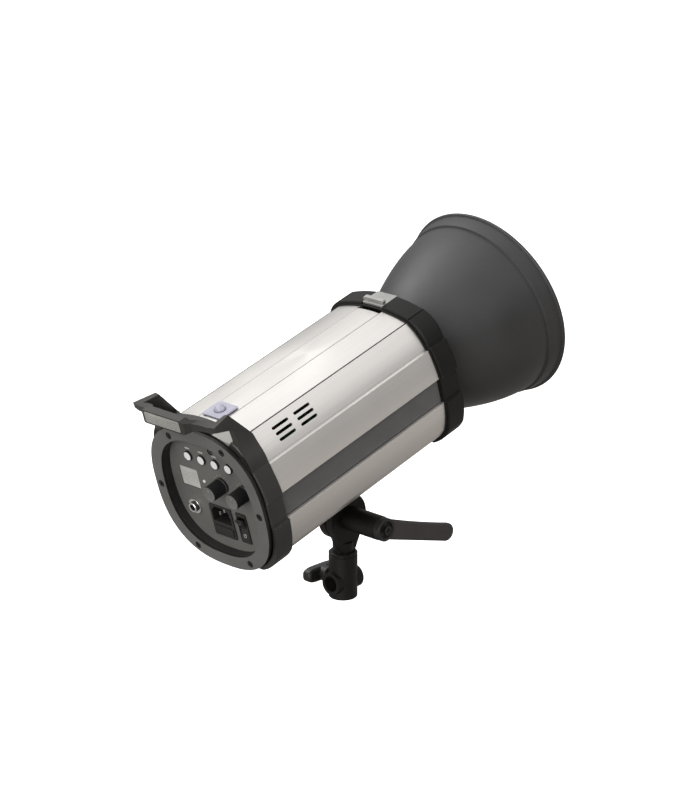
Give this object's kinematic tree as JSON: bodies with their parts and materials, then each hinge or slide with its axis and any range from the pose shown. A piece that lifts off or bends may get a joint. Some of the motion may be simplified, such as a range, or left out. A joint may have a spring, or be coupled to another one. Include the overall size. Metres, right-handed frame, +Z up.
{
  "type": "monolight strobe",
  "caption": "Studio monolight strobe: satin aluminium head with rear controls, moulded carry handle, bell reflector and a tilting stand bracket.",
  "frame": {"origin": "centre of the stand socket's mouth, at the bottom of the bracket", "axes": "+Z up along the stand socket, light leaves towards -Y, the tilt axis runs along X with the clamping lever on the -X side"},
  "size_m": [0.2, 0.4684, 0.3531],
  "materials": {
    "satin_aluminium": "satin anodised extrusion",
    "grey_inlay": "matt grey",
    "clear_plastic": "clear moulded plastic",
    "black_plastic": "fine-textured black moulding",
    "grey_plastic": "matt grey moulding",
    "panel_plastic": "matt dark panel",
    "key_plastic": "translucent white",
    "display": "pale grey window",
    "black_gloss": "polished black",
    "black_paint": "satin black paint",
    "reflector_paint": "semi-matt black outside, silver inside",
    "zinc": "zinc-plated",
    "black_screw": "black oxide",
    "chrome": "plated",
    "brass": "plain",
    "latch_metal": "cast, matt",
    "circuit_board": "green solder mask",
    "capacitor_sleeve": "shrink sleeve",
    "winding": "varnished wire and ferrite",
    "ceramic": "glazed ceramic",
    "lamp_glass": "clear glass",
    "friction": "pressed fibre"
  },
  "bodies": {
    "stand": {"stand_bracket": "black_paint", "clamp_sleeve": "black_paint", "friction_disc": "friction"},
    "head": {"cover": "satin_aluminium", "side_inlays": "grey_inlay", "slave_window": "clear_plastic", "slave_cell": "black_gloss", "rear_collar": "black_plastic", "carry_handle": "black_plastic", "handle_insert": "grey_plastic", "rear_bezel": "black_plastic", "bezel_screws": "black_screw", "rear_frame": "black_plastic", "control_panel": "panel_plastic", "display_window": "display", "display_module": "black_plastic", "control_board": "circuit_board", "potentiometers": "zinc", "ready_led": "key_plastic", "panel_sensor": "black_gloss", "sync_jack": "black_plastic", "jack_nut": "chrome", "mains_inlet": "black_plastic", "inlet_pins": "brass", "switch_frame": "black_plastic", "fan_frame": "black_plastic", "chassis": "zinc", "capacitors": "capacitor_sleeve", "capacitor_clamp": "zinc", "board_posts": "brass", "power_board": "circuit_board", "transformer": "winding", "heat_sink": "satin_aluminium", "front_collar": "black_plastic", "mount_plate": "zinc", "bayonet_ring": "zinc", "latch_spring": "zinc", "lamp_socket": "ceramic", "modelling_lamp": "lamp_glass", "tube_base": "ceramic", "flash_tube": "lamp_glass", "tilt_lug": "black_paint", "lug_screws": "zinc", "tilt_bolt": "zinc"},
    "lever": {"tilt_lever": "black_plastic", "lever_screw": "black_screw"},
    "lock_screw": {"lock_screw": "zinc"},
    "lock_knob": {"lock_knob": "black_plastic"},
    "button_1": {"button_1": "key_plastic"},
    "button_2": {"button_2": "key_plastic"},
    "button_3": {"button_3": "key_plastic"},
    "button_4": {"button_4": "key_plastic"},
    "rocker": {"switch_rocker": "black_gloss"},
    "power_knob": {"power_knob": "black_plastic"},
    "lamp_knob": {"lamp_knob": "black_plastic"},
    "fuse_drawer": {"fuse_drawer": "black_plastic"},
    "latch": {"latch_slider": "latch_metal"},
    "reflector": {"reflector": "reflector_paint"},
    "fan": {"fan_rotor": "black_plastic"}
  },
  "joints": [
    {"name": "head_tilt", "type": "hinge", "parent": "stand", "child": "head", "pos_m": [0, 0, 0.084], "axis": [-1, 0, 0], "range_deg": [-91, 73]},
    {"name": "lever_turn", "type": "hinge", "parent": "head", "child": "lever", "pos_m": [-0.055, 0, 0.084], "axis": [-1, 0, 0], "range_deg": [-60, 40]},
    {"name": "lock_screw_feed", "type": "slide", "parent": "stand", "child": "lock_screw", "axis": [1, 0, 0], "range_m": [-0.00031, 0.00375]},
    {"name": "lock_knob_turn", "type": "hinge", "parent": "lock_screw", "child": "lock_knob", "pos_m": [0.03, 0, 0.017], "axis": [1, 0, 0], "range_deg": [-90, 1080]},
    {"name": "button_1_press", "type": "slide", "parent": "head", "child": "button_1", "axis": [0, -0.9598, 0.2807], "range_m": [0, 0.001], "stiffness_N_per_m": 800, "springref_m": -0.0005},
    {"name": "button_2_press", "type": "slide", "parent": "head", "child": "button_2", "axis": [0, -0.9598, 0.2807], "range_m": [0, 0.001], "stiffness_N_per_m": 800, "springref_m": -0.0005},
    {"name": "button_3_press", "type": "slide", "parent": "head", "child": "button_3", "axis": [0, -0.9598, 0.2807], "range_m": [0, 0.001], "stiffness_N_per_m": 800, "springref_m": -0.0005},
    {"name": "button_4_press", "type": "slide", "parent": "head", "child": "button_4", "axis": [0, -0.9598, 0.2807], "range_m": [0, 0.001], "stiffness_N_per_m": 800, "springref_m": -0.0005},
    {"name": "power_switch", "type": "hinge", "parent": "head", "child": "rocker", "pos_m": [-0.026, 0.153, 0.12053], "axis": [1, 0, 0], "range_deg": [0, 20]},
    {"name": "power_knob_turn", "type": "hinge", "parent": "head", "child": "power_knob", "pos_m": [-0.0105, 0.17848, 0.15777], "axis": [0, 0.9598, -0.2807], "range_deg": [-140, 140]},
    {"name": "lamp_knob_turn", "type": "hinge", "parent": "head", "child": "lamp_knob", "pos_m": [-0.0407, 0.17848, 0.15777], "axis": [0, 0.9598, -0.2807], "range_deg": [-140, 140]},
    {"name": "fuse_drawer_slide", "type": "slide", "parent": "head", "child": "fuse_drawer", "axis": [0, 0.9598, -0.2807], "range_m": [0, 0.012]},
    {"name": "latch_slide", "type": "slide", "parent": "head", "child": "latch", "axis": [0, 0.9598, -0.2807], "range_m": [0, 0.005], "stiffness_N_per_m": 900, "springref_m": -0.002, "deforming": ["latch_spring"]},
    {"name": "reflector_twist", "type": "hinge", "parent": "head", "child": "reflector", "pos_m": [0, -0.07472, 0.21827], "axis": [0, 0.9598, -0.2807], "range_deg": [0, 40]},
    {"name": "fan_spin", "type": "hinge", "parent": "head", "child": "fan", "pos_m": [0, 0.13932, 0.15568], "axis": [0, 0.9598, -0.2807], "continuous": true}
  ],
  "couplings": [
    {"joint": "lock_screw_feed", "follows": "lock_knob_turn", "m_per_rad": 0.00019894}
  ]
}
